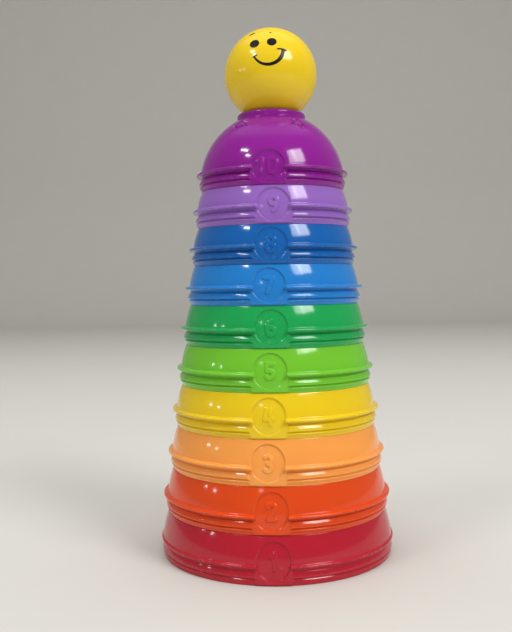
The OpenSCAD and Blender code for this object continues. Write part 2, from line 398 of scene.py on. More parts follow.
    def walk_lip(self) -> None:
        """The crease under the bead and the bulging lip that ends at the mouth."""
        s, step = self.shape, self.step
        crease_r = self.rim_r + self.swell * s.lip_out - s.sunk
        lip_r = self.bead_r - s.crease
        top, end = self.bead_foot - 0.3 * MM, s.edge + 0.05 * MM
        self.follow([(crease_r, self.bead_foot - 0.12 * MM), (crease_r, top)])
        for t in np.linspace(0, 1, step.lip_steps + 1):
            bulge = crease_r + (lip_r - crease_r) * float(smooth(t / self.BULGE_END))
            slope = (lip_r - self.rim_r) * float(smooth((t - self.SLOPE_START) / (1 - self.SLOPE_START)))
            self.follow([(bulge - slope, top + (end - top) * t)], rub=0.3 if t > self.SLOPE_START else 0.0)
        self.follow(arc((self.rim_r - s.edge, s.edge), s.edge, 0, -90, step.rim), rub=0.6)

    def walk_inside(self) -> None:
        """The mouth's inner edge, the inside wall and the underside of the dish."""
        s, step, middle = self.shape, self.step, self.middle
        self.follow([(self.rim_r - s.wall / 2, 0)], rub=0.6)
        self.follow(arc((self.mouth_r + s.edge, s.edge), s.edge, -90, -180, step.corner), rub=0.4)
        self.follow([(self.mouth_r, s.edge + 0.1 * MM), (self.mouth_r, self.dome_z)])
        inner, start = self.dome_r - s.wall, 0.0
        if not self.topmost:
            shelf = self.ledge - s.wall
            self.follow(arc(middle, inner, start, self.rise_to(shelf, inner), step.inside))
            inner = self.plug_r - s.wall
            start = self.rise_to(shelf, inner)
        ceiling = self.height - s.ring_h - s.wall
        self.follow(arc(middle, inner, start, self.rise_to(ceiling, inner), step.ceiling))
        under = self.dish_r + s.wall
        lean = -math.degrees(math.asin((self.dish_z - ceiling) / under))
        self.follow(arc((0, self.dish_z), under, lean, -90, step.inside))

    def plan_panel(self, first: int, first_bead: int, last: int) -> None:
        """Says where each row goes on the plain front panel, and how far the panel reaches.

        Args:
            first: First row of the flange.
            first_bead: First row of the groove.
            last: First row past the lip's outer face.
        """
        s = self.shape
        self.plain = list(self.points)
        self.reach = [0.0] * len(self.points)
        top = self.points[first][1]
        lowest = max(i for i in range(first, last) if self.points[i][1] >= s.panel_z)
        for i in range(first, lowest + 1):
            z = top + (s.panel_z - top) * (i - first) / (lowest - first)
            self.plain[i] = (math.sqrt(self.dome_r ** 2 - (z - self.dome_z) ** 2), z)
            self.reach[i] = s.panel_half_w if i >= first_bead else s.badge_w / 2 - 1.3 * MM


class SpinTree:
    """The Geometry Nodes tree that spins a half section into a cup and sinks its stars."""

    INPUTS = (
        ("Section", "NodeSocketObject"), ("Stations", "NodeSocketObject"),
        ("Panel Softness", "NodeSocketFloat"), ("Turn", "NodeSocketFloat"),
        ("Base Height", "NodeSocketFloat"), ("Middle Height", "NodeSocketFloat"),
        ("Plug Radius", "NodeSocketFloat"), ("Star Count", "NodeSocketInt"),
        ("First Star", "NodeSocketFloat"), ("Star Tilt", "NodeSocketFloat"),
        ("Star Size", "NodeSocketFloat"), ("Half Line", "NodeSocketFloat"),
        ("Star Rise", "NodeSocketFloat"), ("Join Distance", "NodeSocketFloat"),
        ("Material", "NodeSocketMaterial"),
    )
    STAR_POINTS = 5
    # outward normal of a star's side beside its first point, for inner points at half its radius
    STAR_SIDE = (0.4426, 0.8967, 0.0)
    # how much of a star's sunk line is flat at its bottom
    LINE_FLOOR = 0.2
    SKIN = 0.2 * MM

    def __init__(self) -> None:
        """Builds the tree once; every cup uses it with its own inputs."""
        self.tree = bpy.data.node_groups.new("spun_cup", "GeometryNodeTree")
        self.put = partial(add, self.tree)
        self.tree.interface.new_socket("Geometry", in_out="INPUT", socket_type="NodeSocketGeometry")
        self.tree.interface.new_socket("Geometry", in_out="OUTPUT", socket_type="NodeSocketGeometry")
        self.sockets = {name: self.tree.interface.new_socket(name, in_out="INPUT", socket_type=kind)
                        for name, kind in self.INPUTS}
        self.given = self.tree.nodes.new("NodeGroupInput").outputs
        starred = self.sink_stars(self.spin())
        shaded = self.put("GeometryNodeSetShadeSmooth", {"Geometry": starred, "Shade Smooth": True})
        real = self.put("GeometryNodeRealizeInstances", {"Geometry": shaded})
        painted = self.put("GeometryNodeSetMaterial", {"Geometry": real, "Material": self.given["Material"]})
        self.put("NodeGroupOutput", {0: painted})

    def spin(self) -> bpy.types.Node:
        """Adds the grid of section rows by stations, bent round the axis.

        Returns:
            The node that ends the spun skin.
        """
        put, given = self.put, self.given
        section, stations = (put("GeometryNodeObjectInfo", {"Object": given[name]}).outputs["Geometry"]
                             for name in ("Section", "Stations"))
        rows, columns = (put("GeometryNodeAttributeDomainSize", {"Geometry": held}).outputs["Point Count"]
                         for held in (section, stations))
        grid = put("GeometryNodeMeshGrid", {"Vertices X": rows, "Vertices Y": columns})
        index = put("GeometryNodeInputIndex")
        row = put("FunctionNodeIntegerMath", {0: index, 1: columns}, operation="DIVIDE_FLOOR")
        column = put("FunctionNodeIntegerMath", {0: index, 1: columns}, operation="MODULO")
        read = {}
        for name, kind, held, at in (
                ("position", "FLOAT_VECTOR", section, row), ("plain", "FLOAT_VECTOR", section, row),
                ("reach", "FLOAT", section, row), ("rub", "FLOAT", section, row),
                ("azimuth", "FLOAT", stations, column)):
            value = put("GeometryNodeInputNamedAttribute", {"Name": name}, data_type=kind)
            read[name] = put("GeometryNodeSampleIndex",
                             {"Geometry": held, "Value": value, "Index": at}, data_type=kind)
        panel = put("ShaderNodeVectorRotate", {"Vector": read["plain"], "Angle": read["azimuth"]},
                    rotation_type="Z_AXIS")
        across, back, _ = put("ShaderNodeSeparateXYZ", {"Vector": panel}).outputs
        soft = {0: read["reach"], 1: given["Panel Softness"]}
        flat = put("ShaderNodeMapRange", {
            "Value": put("ShaderNodeMath", {0: across}, operation="ABSOLUTE"),
            "From Min": put("ShaderNodeMath", soft, operation="ADD"),
            "From Max": put("ShaderNodeMath", soft, operation="SUBTRACT")},
            interpolation_type="SMOOTHSTEP")
        front = put("ShaderNodeMath", {0: back, 1: 0.0}, operation="LESS_THAN")
        share = put("ShaderNodeMath", {0: flat, 1: front}, operation="MULTIPLY")
        mixed = put("ShaderNodeMix", {0: share, 4: read["position"], 5: read["plain"]},
                    data_type="VECTOR")
        azimuth = put("ShaderNodeMath", {0: read["azimuth"], 1: given["Turn"]}, operation="ADD")
        point = put("ShaderNodeVectorRotate", {"Vector": mixed.outputs[1], "Angle": azimuth},
                    rotation_type="Z_AXIS")
        rubbed = put("GeometryNodeStoreNamedAttribute",
                     {"Geometry": grid, "Name": "rub", "Value": read["rub"]},
                     data_type="FLOAT", domain="POINT")
        lift = put("ShaderNodeCombineXYZ", {"Z": given["Base Height"]})
        bent = put("GeometryNodeSetPosition", {"Geometry": rubbed, "Position": point, "Offset": lift})
        return put("GeometryNodeMergeByDistance",
                   {"Geometry": bent, "Distance": given["Join Distance"]})

    def fold(self, place: bpy.types.Node, first: float | bpy.types.NodeSocket,
             count: int | bpy.types.NodeSocket) -> bpy.types.Node:
        """Adds a turn about Z that brings every equal share of a circle onto one of them.

        Args:
            place: The places to turn.
            first: Angle from +X of the middle of any one share.
            count: How many shares the circle has.

        Returns:
            The node that turns them, so that the middles of all shares lie along +X.
        """
        put = self.put
        x, y, _ = put("ShaderNodeSeparateXYZ", {"Vector": place}).outputs
        angle = put("ShaderNodeMath", {0: y, 1: x}, operation="ARCTAN2")
        half = put("ShaderNodeMath", {0: math.pi, 1: count}, operation="DIVIDE")
        least = put("ShaderNodeMath", {0: 0.0, 1: half}, operation="SUBTRACT")
        past = put("ShaderNodeMath", {0: angle, 1: first}, operation="SUBTRACT")
        folded = put("ShaderNodeMath", {0: past, 1: half, 2: least}, operation="WRAP")
        turn = put("ShaderNodeMath", {0: folded, 1: angle}, operation="SUBTRACT")
        return put("ShaderNodeVectorRotate", {"Vector": place, "Angle": turn}, rotation_type="Z_AXIS")

    def sink_stars(self, skin: bpy.types.Node) -> bpy.types.Node:
        """Adds the sunk outlines of the stars, by folding the shoulder onto one star's side.

        Args:
            skin: The spun skin.

        Returns:
            The node that moves the skin.
        """
        put, given = self.put, self.given
        place = put("GeometryNodeInputPosition")
        middle = put("ShaderNodeCombineXYZ", {"Z": given["Middle Height"]})
        out = put("ShaderNodeVectorMath", {0: place, 1: middle}, operation="SUBTRACT")
        length = put("ShaderNodeVectorMath", {0: out}, operation="LENGTH").outputs["Value"]
        unit = put("ShaderNodeVectorMath", {0: out}, operation="NORMALIZE")
        near = self.fold(unit, given["First Star"], given["Star Count"])
        level = put("ShaderNodeVectorRotate", {"Vector": near, "Angle": given["Star Tilt"]},
                    rotation_type="Y_AXIS", invert=True)
        spread = put("ShaderNodeVectorMath", {0: level, "Scale": given["Plug Radius"]},
                     operation="SCALE")
        one_point = self.fold(spread, 0.0, self.STAR_POINTS)
        one_side = put("ShaderNodeVectorMath", {0: one_point}, operation="ABSOLUTE")
        tip = put("ShaderNodeCombineXYZ", {"X": given["Star Size"]})
        from_tip = put("ShaderNodeVectorMath", {0: one_side, 1: tip}, operation="SUBTRACT")
        beyond = put("ShaderNodeVectorMath", {0: from_tip, 1: self.STAR_SIDE},
                     operation="DOT_PRODUCT").outputs["Value"]
        half_line = given["Half Line"]
        past = put("ShaderNodeMath", {0: beyond, 1: half_line}, operation="ADD")
        moved = put("ShaderNodeMapRange", {
            "Value": put("ShaderNodeMath", {0: past}, operation="ABSOLUTE"), "From Min": half_line,
            "From Max": put("ShaderNodeMath", {0: half_line, 1: self.LINE_FLOOR}, operation="MULTIPLY"),
            "To Max": given["Star Rise"]}, interpolation_type="SMOOTHSTEP")
        under = put("ShaderNodeMath", {0: given["Plug Radius"], 1: self.SKIN}, operation="SUBTRACT")
        outside = put("ShaderNodeMath", {0: length, 1: under}, operation="GREATER_THAN")
        up = put("ShaderNodeVectorMath", {0: level, 1: (0.0, 0.0, 1.0)}, operation="DOT_PRODUCT")
        above = put("ShaderNodeMath", {0: up.outputs["Value"], 1: 0.5}, operation="GREATER_THAN")
        there = put("ShaderNodeMath", {0: outside, 1: above}, operation="MULTIPLY")
        rise = put("ShaderNodeMath", {0: moved, 1: there}, operation="MULTIPLY")
        offset = put("ShaderNodeVectorMath", {0: unit, "Scale": rise}, operation="SCALE")
        return put("GeometryNodeSetPosition", {"Geometry": skin, "Offset": offset})

    def bake(self, name: str, **values) -> bpy.types.Mesh:
        """Runs the tree on an empty carrier and keeps its result as a plain mesh.

        Args:
            name: Name of the mesh.
            **values: The tree's inputs, with an underscore for each space in their names.

        Returns:
            The baked mesh.
        """
        carrier = mesh_object(name + "_carrier", bpy.data.meshes.new(name + "_carrier"))
        spinner = carrier.modifiers.new("spin", "NODES")
        spinner.node_group = self.tree
        for key, value in values.items():
            spinner[self.sockets[key.replace("_", " ")].identifier] = value
        seen = bpy.context.evaluated_depsgraph_get()
        mesh = bpy.data.meshes.new_from_object(carrier.evaluated_get(seen))
        mesh.name = name
        carrier.modifiers.remove(spinner)
        bpy.data.objects.remove(carrier)
        return mesh


@dataclass(frozen=True)
class Stroke:
    """A pen stroke of a numeral, as points in millimetres from the numeral's middle."""

    points: tuple[Point, ...]

    @staticmethod
    def curve(centre: Point, radius: float, start: float, end: float) -> "Stroke":
        """A round stroke from one angle to another, in degrees."""
        return Stroke(tuple(arc(centre, radius, start, end, radius * math.radians(12))))


@dataclass(frozen=True)
class Numeral:
    """A raised number drawn with a round pen."""

    value: int
    height: float = 9.0
    width: float = 5.6
    pen: float = 2.0
    out: float = 0.6 * MM
    flank: float = 0.4

    def strokes(self) -> list[Stroke]:
        """Draws the whole number.

        Returns:
            Its pen strokes.
        """
        if self.value < 10:
            return self.digit(self.value)
        places = ((1, -3.4), (0, 2.2))
        return [Stroke(tuple((x + shift, y) for x, y in stroke.points))
                for digit, shift in places for stroke in self.digit(digit)]

    def digit(self, n: int) -> list[Stroke]:
        """The pen strokes of one digit.

        Args:
            n: The digit, 0 to 9.

        Returns:
            Its strokes, each from one round end to the other.
        """
        w = (self.width - self.pen) / 2
        h = (self.height - self.pen) / 2
        curve = Stroke.curve
        if n == 9:
            return [Stroke(tuple((-x, -y) for x, y in s.points)) for s in self.digit(6)]
        drawn = {
            0: lambda: [curve((0, h - w), w, 0, 180), curve((0, w - h), w, 180, 360),
                        Stroke(((-w, w - h), (-w, h - w))), Stroke(((w, w - h), (w, h - w)))],
            1: lambda: [Stroke(((0.4, -h), (0.4, h), (0.4 - w, h - 1.5)))],
            2: lambda: [curve((0, h - w), w, -35, 170),
                        Stroke(((w * math.cos(math.radians(35)), h - w - w * math.sin(math.radians(35))),
                                (-w, -h), (w, -h)))],
            3: lambda: [curve((0, h / 2), h / 2, -90, 140), curve((0, -h / 2), h / 2, -140, 90)],
            4: lambda: [Stroke(((-w / 2, h), (-w, -h / 3), (w, -h / 3))),
                        Stroke(((w / 2, h), (w / 2, -h)))],
            5: lambda: [Stroke(((w * 0.8, h), (-w * 0.8, h), (-w * 0.8, 0.3))),
                        curve((-0.3, 0.5 - w), w, -145, 115)],
            6: lambda: [curve((0, w - h), w, 0, 360), Stroke(((-w, w - h), (-w, 0.8))),
                        curve((0.6 + w / 2, 0.8), h - 0.8, 120, 180)],
            7: lambda: [Stroke(((-w, h), (w, h), (-w / 3, -h)))],
            8: lambda: [curve((0, h - 0.9 * w), 0.9 * w, 0, 360), curve((0, w - h), w, 0, 360)],
        }
        return drawn[n]()

    def rise(self, across: np.ndarray, up: np.ndarray) -> np.ndarray:
        """How far the number stands up at points of the badge.

        Args:
            across: Places to the right of the badge's middle.
            up: Places above it.

        Returns:
            The rise at each point, 0 away from the strokes.
        """
        x, y = across / MM, up / MM
        nearest = np.full(x.shape, 1e9)
        for stroke in self.strokes():
            for (ax, ay), (bx, by) in zip(stroke.points, stroke.points[1:]):
                span = (bx - ax) ** 2 + (by - ay) ** 2
                t = np.clip(((x - ax) * (bx - ax) + (y - ay) * (by - ay)) / span, 0, 1)
                nearest = np.minimum(nearest, np.hypot(x - ax - t * (bx - ax), y - ay - t * (by - ay)))
        return self.out * smooth((self.pen / 2 + self.flank / 3 - nearest) / self.flank)


def blank_material(name: str) -> tuple[bpy.types.Material, Callable, bpy.types.NodeSocket]:
    """Starts a material.

    Args:
        name: What it is and how it was made.

    Returns:
        The material, what adds a node to it, and the Object coordinates for its patterns.
    """
    made = bpy.data.materials.new(name)
    made.use_nodes = True
    tree = made.node_tree
    tree.nodes.clear()
    return made, partial(add, tree), add(tree, "ShaderNodeTexCoord").outputs["Object"]


@dataclass(frozen=True)
class MouldedGloss:
    """Polypropylene, injection moulded in a polished tool.

    The eye gets a deep, even colour under a clear, nearly sharp gloss. A faint waviness
    bends the reflections, edges that rub on other cups are duller and a little paler,
    and a few fine scuffs catch the light.
    """

    name: str
    hue: Hue
    roughness: float = 0.1
    wear_dulls: float = 0.22
    wear_pales: float = 0.35
    scuff_dulls: float = 0.12
    ior: float = 1.47
    cloud: float = 35 * MM
    speck: float = 2.2 * MM
    scratch: float = 9 * MM
    wave: float = 14 * MM
    wave_depth: float = 0.05 * MM
    peel: float = 1.6 * MM
    peel_depth: float = 0.0025 * MM

    def material(self) -> bpy.types.Material:
        """Builds the finish.

        Returns:
            The node material.
        """
        made, put, here = blank_material(self.name)
        base = linear(self.hue.value)
        deep = tuple(c * 0.9 for c in base[:3]) + (1.0,)
        pale = tuple(c * 0.9 + 0.08 for c in base[:3]) + (1.0,)
        cloud, speck, waves, grain = (
            put("ShaderNodeTexNoise", {"Vector": here, "Scale": 1 / size, "Detail": detail,
                                       "Roughness": rough})
            for size, detail, rough in ((self.cloud, 2.0, 0.5), (self.speck, 4.0, 0.65),
                                        (self.wave, 1.0, 0.5), (self.peel, 2.0, 0.5)))
        body = put("ShaderNodeMix", {0: cloud, 6: base, 7: deep}, data_type="RGBA")
        rub = put("ShaderNodeAttribute", attribute_name="rub").outputs["Fac"]
        worn = put("ShaderNodeMapRange", {"Value": speck, "From Min": 0.5, "From Max": 0.68})
        wear = put("ShaderNodeMath", {0: rub, 1: worn}, operation="MULTIPLY")
        tint = put("ShaderNodeMath", {0: wear, 1: self.wear_pales}, operation="MULTIPLY")
        paint = put("ShaderNodeMix", {0: tint, 6: body.outputs[2], 7: pale}, data_type="RGBA")
        stretched = put("ShaderNodeMapping", {"Vector": here, "Scale": (1.0, 1.0, 9.0),
                                              "Rotation": (0.5, 0.3, 0.2)})
        scratch = put("ShaderNodeTexNoise", {"Vector": stretched, "Scale": 1 / self.scratch,
                                             "Detail": 6.0, "Roughness": 0.7})
        scuff = put("ShaderNodeMapRange", {"Value": scratch, "From Min": 0.62, "From Max": 0.7,
                                           "To Max": self.scuff_dulls})
        smear = put("ShaderNodeMapRange", {"Value": cloud, "To Min": self.roughness * 0.8,
                                           "To Max": self.roughness * 1.3})
        dull = put("ShaderNodeMath", {0: wear, 1: self.wear_dulls, 2: smear}, operation="MULTIPLY_ADD")
        rough = put("ShaderNodeMath", {0: dull, 1: scuff}, operation="ADD")
        slow = put("ShaderNodeBump", {"Height": waves, "Distance": self.wave_depth, "Strength": 1.0})
        fine = put("ShaderNodeBump", {"Height": grain, "Distance": self.peel_depth, "Strength": 1.0,
                                      "Normal": slow})
        shader = put("ShaderNodeBsdfPrincipled", {
            "Base Color": paint.outputs[2], "Roughness": rough, "IOR": self.ior, "Normal": fine})
        put("ShaderNodeOutputMaterial", {"Surface": shader})
        return made


@dataclass(frozen=True)
class PadInk:
    """Two-part ink, pad printed on the ball.

    The eye gets an even black film, a shade glossier than satin, with a slightly duller
    stipple where the pad lifted off.
    """

    name: str
    hue: Hue
    ior: float = 1.36
    stipple: float = 0.5 * MM
    stipple_depth: float = 0.004 * MM

    def material(self) -> bpy.types.Material:
        """Builds the finish.

        Returns:
            The node material.
        """
        made, put, here = blank_material(self.name)
        stipple = put("ShaderNodeTexNoise", {"Vector": here, "Scale": 1 / self.stipple, "Detail": 3.0})
        dark = linear(self.hue.value)
        faded = tuple(c * 1.5 for c in dark[:3]) + (1.0,)
        paint = put("ShaderNodeMix", {0: stipple, 6: dark, 7: faded}, data_type="RGBA")
        rough = put("ShaderNodeMapRange", {"Value": stipple, "To Min": 0.22, "To Max": 0.4})
        bump = put("ShaderNodeBump", {"Height": stipple, "Distance": self.stipple_depth, "Strength": 1.0})
        shader = put("ShaderNodeBsdfPrincipled", {
            "Base Color": paint.outputs[2], "Roughness": rough, "IOR": self.ior, "Normal": bump})
        put("ShaderNodeOutputMaterial", {"Surface": shader})
        return made


@dataclass
class Cup:
    """One cup of the tower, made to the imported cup's place and size."""

    number: int
    node: str
    body: str
    hue: Hue
    turn: float
    base_z: float
    section: HalfSection
    badge_z: float
    badge_h: float
    # how far the close columns reach to each side of the badge's middle, and their spacing
    BADGE_REACH = 10.34 * MM
    BADGE_STEP = 0.22 * MM
    # spacing of the other columns in degrees, and how far past a star its close ones go
    STAR_STEP = 0.9
    STAR_MARGIN = 1.08
    WIDE_STEP = 3

    def stations(self) -> np.ndarray:
        """Places the columns: close on the badge and the stars, wide elsewhere.

        Returns:
            Their azimuths in radians, and the first one's again after a whole turn.
        """
        s = self.section.shape
        across = np.arange(-self.BADGE_REACH, self.BADGE_REACH + self.BADGE_STEP / 20, self.BADGE_STEP)
        badge = np.arcsin(across / self.section.dome_r)
        half_star = self.STAR_MARGIN * s.star_size / s.star_reach
        centres = [(i + 0.5) * 2 * math.pi / s.stars for i in range(s.stars)]
        stars = [np.arange(c - half_star, c + half_star, math.radians(self.STAR_STEP)) for c in centres]
        close = np.concatenate([badge, *stars])
        close = np.sort((close + math.pi) % (2 * math.pi) - math.pi)
        wide = [math.radians(a) for a in np.arange(-180, 180, self.WIDE_STEP)
                if np.min(np.abs(close - math.radians(a))) > math.radians(self.WIDE_STEP / 2)]
        azimuths = np.sort(np.concatenate([close, wide]))
        return np.concatenate([azimuths, azimuths[:1] + 2 * math.pi])

    def carrier(self, name: str, points: np.ndarray, **numbers) -> bpy.types.Object:
        """Holds a list of points, with numbers on them, for the tree to read.

        Args:
            name: Name of the object.
            points: Three coordinates of each point.
            **numbers: One value, or three, for each point.

        Returns:
            The object, which the caller removes.
        """
        mesh = bpy.data.meshes.new(name)
        mesh.vertices.add(len(points))
        mesh.vertices.foreach_set("co", points.astype(np.float32).ravel())
        for key, values in numbers.items():
            values = np.asarray(values, np.float32)
            wide = values.ndim == 2
            layer = mesh.attributes.new(key, "FLOAT_VECTOR" if wide else "FLOAT", "POINT")
            layer.data.foreach_set("vector" if wide else "value", values.ravel())
        return mesh_object(name, mesh)

    def build(self, tree: SpinTree, material: bpy.types.Material) -> bpy.types.Object:
        """Spins the cup, sinks its badge and raises its number.

        Args:
            tree: The shared Geometry Nodes tree.
            material: The cup's finish.

        Returns:
            The finished piece.
        """
        part, s = self.section, self.section.shape
        rows, plain = (np.array([(0, -r, z) for r, z in points]) for points in (part.points, part.plain))
        section = self.carrier("section", rows, plain=plain, reach=part.reach, rub=part.rub)
        azimuths = self.stations()
        stations = self.carrier("stations", np.zeros((len(azimuths), 3)), azimuth=azimuths)
        mesh = tree.bake(
            self.node, Section=section, Stations=stations, Panel_Softness=s.panel_soft, Turn=self.turn,
            Base_Height=self.base_z, Middle_Height=self.base_z + part.dome_z, Plug_Radius=part.plug_r,
            Star_Count=s.stars, First_Star=self.turn + math.pi / s.stars - math.pi / 2,
            Star_Tilt=part.star_tilt, Star_Size=s.star_size, Half_Line=s.star_line / 2,
            Star_Rise=-s.star_depth, Join_Distance=JOIN, Material=material)
        for helper in (section, stations):
            bpy.data.objects.remove(helper)
        self.press_badge(mesh)
        close_up(mesh)
        return mesh_object(self.node.replace("cup", "shell"), mesh)

    def press_badge(self, mesh: bpy.types.Mesh) -> None:
        """Sinks the badge in the front and raises its number.

        Args:
            mesh: The spun cup, changed in place.
        """
        s, dome_r = self.section.shape, self.section.dome_r
        spots = np.zeros(len(mesh.vertices) * 3, np.float32)
        mesh.vertices.foreach_get("co", spots)
        spots = spots.reshape(-1, 3).astype(float)
        turned = Matrix.Rotation(-self.turn, 3, "Z")
        local = spots @ np.array(turned).T - np.array([0, 0, self.base_z])
        across, up = local[:, 0], local[:, 2] - self.badge_z
        outwards = local - np.array([0, 0, self.section.dome_z])
        length = np.linalg.norm(outwards, axis=1)
        a, b = s.badge_w / 2, self.badge_h / 2
        inner = length < dome_r - 0.9 * s.wall
        front = (local[:, 1] < 0) & (np.abs(across) < a) & (np.abs(up) < b) & ~inner
        x, y, radius = across[front], up[front], length[front]
        share = np.hypot(x / a, y / b) + 1e-9
        depth_in = (1 - share) * share / np.hypot(x / a ** 2, y / b ** 2)
        sunk = smooth(depth_in / s.badge_wall)
        floor = dome_r - s.badge_depth + Numeral(self.number).rise(x, y)
        moved = radius + (floor - radius) * sunk
        centre = np.array([0, 0, self.base_z + self.section.dome_z])
        spots[front] = centre + (spots[front] - centre) * (moved / radius)[:, None]
        mesh.vertices.foreach_set("co", spots.astype(np.float32).ravel())
        mesh.update()


@dataclass
class CupFamily:
    """The ten cups, with the rules that their sizes follow."""

    shape: Moulding
    base_dome_z: float = 2.5 * MM
    top_dome_z: float = 3.8 * MM
    base_badge_z: float = 11 * MM
    top_badge_z: float = 9.2 * MM
    base_badge_h: float = 18.2 * MM
    top_badge_h: float = 16.2 * MM
    top_ledge: float = 18.12 * MM
    # how far each cup happens to be turned about the tower's axis, in degrees, largest first
    turns: tuple[float, ...] = (-3, -3.8, -5.4, -4.9, -4, -3.3, -4.4, -2.9, -0.6, -4.3)
    hues: tuple[Hue, ...] = (Hue.RED, Hue.ORANGE, Hue.APRICOT, Hue.YELLOW, Hue.LIME,
                             Hue.GREEN, Hue.AZURE, Hue.BLUE, Hue.LAVENDER, Hue.PURPLE)

    def cups(self) -> list[Cup]:
        """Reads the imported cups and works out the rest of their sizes.

        Returns:
            The cups, largest first.
        """
        nodes = sorted(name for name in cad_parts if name.startswith("cup_"))
        boxes = [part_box(name) for name in nodes]
        last = len(nodes) - 1
        rims = [box[1].x - (self.shape.flange_out if i else self.shape.base_flange_out)
                for i, box in enumerate(boxes)]
        made = []
        for i, (low, high) in enumerate(boxes):
            t = i / last
            ledge = self.top_ledge if i == last else boxes[i + 1][0].z - low.z
            section = HalfSection(
                rim_r=rims[i], flange_r=high.x, next_rim_r=rims[min(i + 1, last)], ledge=ledge,
                height=high.z - low.z, dome_z=self.base_dome_z + (self.top_dome_z - self.base_dome_z) * t,
                shape=self.shape, topmost=i == last)
            made.append(Cup(
                number=i + 1, node=nodes[i], body=f"cup_{i + 1:02d}", hue=self.hues[i],
                turn=math.radians(self.turns[i]), base_z=low.z, section=section,
                badge_z=self.base_badge_z + (self.top_badge_z - self.base_badge_z) * t,
                badge_h=self.base_badge_h + (self.top_badge_h - self.base_badge_h) * t))
        return made

    def build(self) -> None:
        """Makes, dresses and places every cup."""
        tree = SpinTree()
        for cup in self.cups():
            finish = MouldedGloss(f"moulded_polypropylene_{cup.hue.name.lower()}", cup.hue)
            piece = cup.build(tree, finish.material())
            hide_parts(cup.node)
            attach(piece, cup.body)
            LOG.info("%s: %d faces", piece.name, len(piece.data.polygons))


